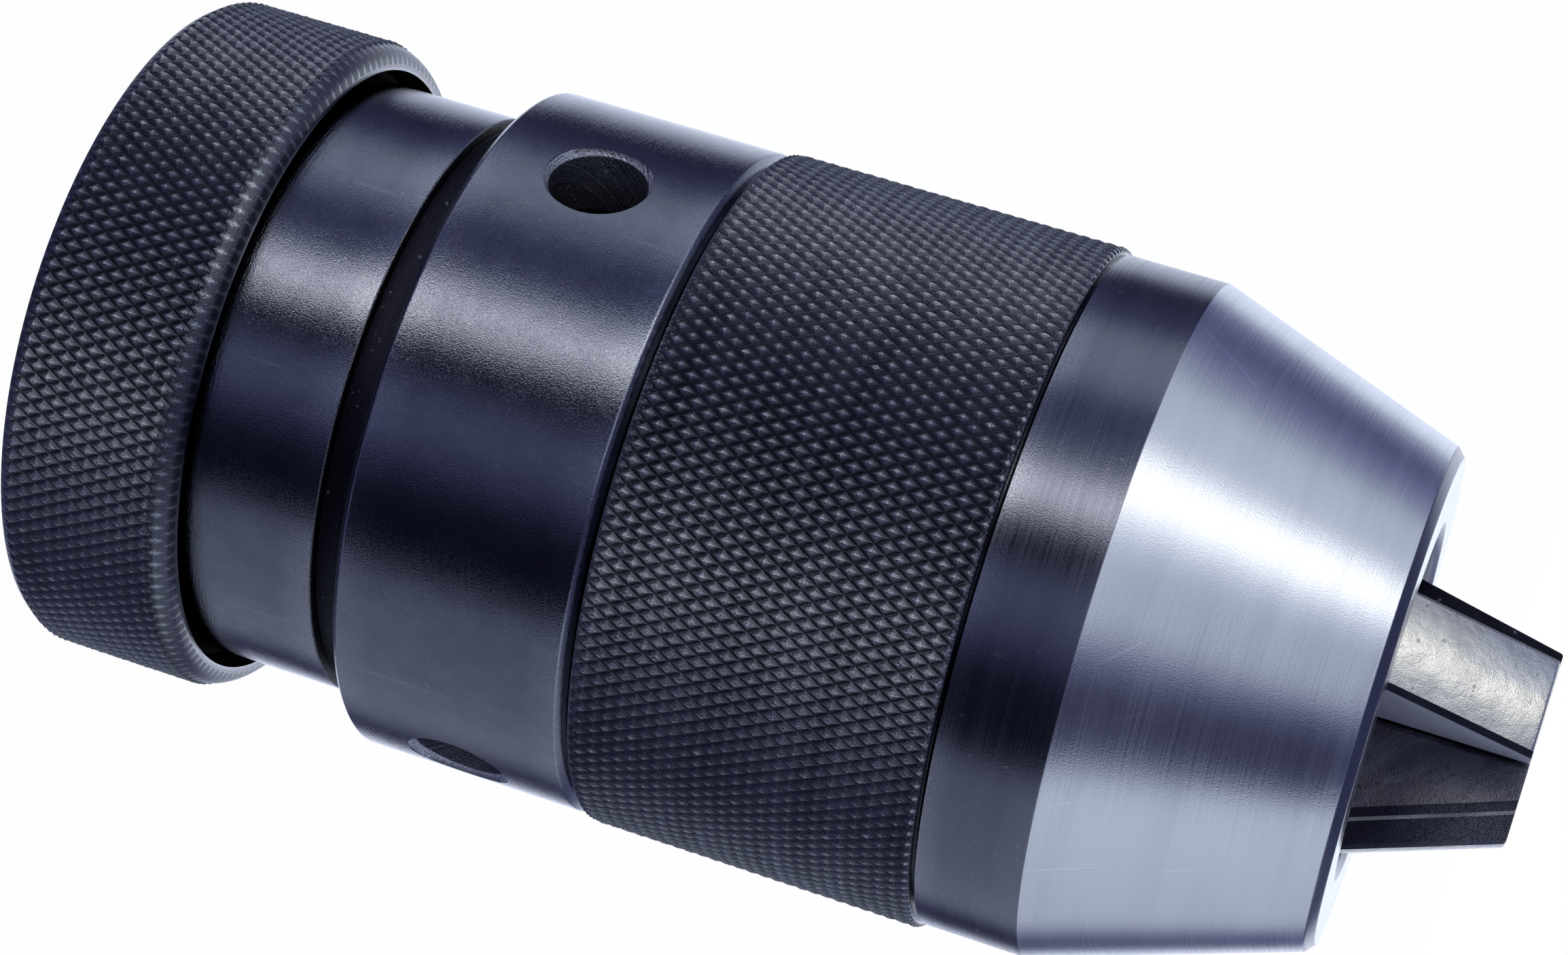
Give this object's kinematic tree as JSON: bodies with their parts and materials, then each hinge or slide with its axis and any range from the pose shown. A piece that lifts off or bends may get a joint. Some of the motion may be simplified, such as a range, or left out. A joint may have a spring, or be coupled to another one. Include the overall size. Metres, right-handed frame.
{
  "type": "drill chuck",
  "caption": "Keyless self-tightening drill chuck: taper socket, knurled ring and sleeve, plain collar with spanner holes, ground nose cone and three sliding jaws.",
  "frame": {"origin": "centre of the rear face, on the chuck axis", "axes": "+Z along the chuck axis from the arbor socket to the jaws; +X through the first spanner hole"},
  "size_m": [0.057, 0.057, 0.1188],
  "materials": {
    "body_steel": "turned steel, lightly oiled",
    "ring_black_oxide": "black oxide on a diamond knurl",
    "hood_black_oxide": "black oxide over fine turning lines",
    "sleeve_black_oxide": "black oxide on a diamond knurl",
    "nose_ground_steel": "cylindrically ground cone, black oxide band",
    "jaw_ground_steel": "ground",
    "guide_steel": "hardened and ground",
    "screw_steel": "turned",
    "key_steel": "black oxide",
    "felt": "oiled felt",
    "race_steel": "hardened and polished",
    "ball_steel": "polished",
    "cage_brass": "stamped",
    "washer_bronze": "turned bronze",
    "spring_steel": "blued spring steel"
  },
  "bodies": {
    "chuck_body": {"body": "body_steel", "rear_ring": "ring_black_oxide", "ring_key_1": "key_steel", "ring_key_2": "key_steel", "ring_key_3": "key_steel", "dust_seal": "felt", "front_race": "race_steel"},
    "outer_group": {"hood": "hood_black_oxide", "knurled_sleeve": "sleeve_black_oxide", "nose_shell": "nose_ground_steel", "jaw_guide": "guide_steel", "guide_dowel_1": "guide_steel", "guide_dowel_2": "guide_steel", "guide_dowel_3": "guide_steel", "rear_race": "race_steel", "friction_washer": "washer_bronze", "wave_spring": "spring_steel", "retaining_ring": "spring_steel"},
    "ball_train": {"ball_cage": "cage_brass", "ball_01": "ball_steel", "ball_02": "ball_steel", "ball_03": "ball_steel", "ball_04": "ball_steel", "ball_05": "ball_steel", "ball_06": "ball_steel", "ball_07": "ball_steel", "ball_08": "ball_steel", "ball_09": "ball_steel", "ball_10": "ball_steel", "ball_11": "ball_steel", "ball_12": "ball_steel", "ball_13": "ball_steel", "ball_14": "ball_steel", "ball_15": "ball_steel", "ball_16": "ball_steel"},
    "screw_group": {"drive_screw": "screw_steel"},
    "jaw_1_slider": {"jaw_1": "jaw_ground_steel"},
    "jaw_2_slider": {"jaw_2": "jaw_ground_steel"},
    "jaw_3_slider": {"jaw_3": "jaw_ground_steel"}
  },
  "joints": [
    {"name": "sleeve_turn", "type": "hinge", "parent": "chuck_body", "child": "outer_group", "pos_m": [0, 0, 0.0384], "axis": [0, 0, 1], "range_deg": [0, 3165.09]},
    {"name": "ball_train_turn", "type": "hinge", "parent": "chuck_body", "child": "ball_train", "pos_m": [0, 0, 0.0184], "axis": [0, 0, 1], "range_deg": [0, 1582.55]},
    {"name": "screw_travel", "type": "slide", "parent": "outer_group", "child": "screw_group", "axis": [0, 0, -1], "range_m": [0, 0.02198]},
    {"name": "jaw_1_slide", "type": "slide", "parent": "outer_group", "child": "jaw_1_slider", "axis": [0.3153, 0.1325, -0.9397], "range_m": [0, 0.02339]},
    {"name": "jaw_2_slide", "type": "slide", "parent": "outer_group", "child": "jaw_2_slider", "axis": [-0.2724, 0.2068, -0.9397], "range_m": [0, 0.02339]},
    {"name": "jaw_3_slide", "type": "slide", "parent": "outer_group", "child": "jaw_3_slider", "axis": [-0.0429, -0.3393, -0.9397], "range_m": [0, 0.02339]}
  ],
  "couplings": [
    {"joint": "ball_train_turn", "follows": "sleeve_turn", "ratio": 0.5},
    {"joint": "screw_travel", "follows": "sleeve_turn", "m_per_rad": 0.00039789},
    {"joint": "jaw_1_slide", "follows": "sleeve_turn", "m_per_rad": 0.00042342},
    {"joint": "jaw_2_slide", "follows": "sleeve_turn", "m_per_rad": 0.00042342},
    {"joint": "jaw_3_slide", "follows": "sleeve_turn", "m_per_rad": 0.00042342}
  ]
}
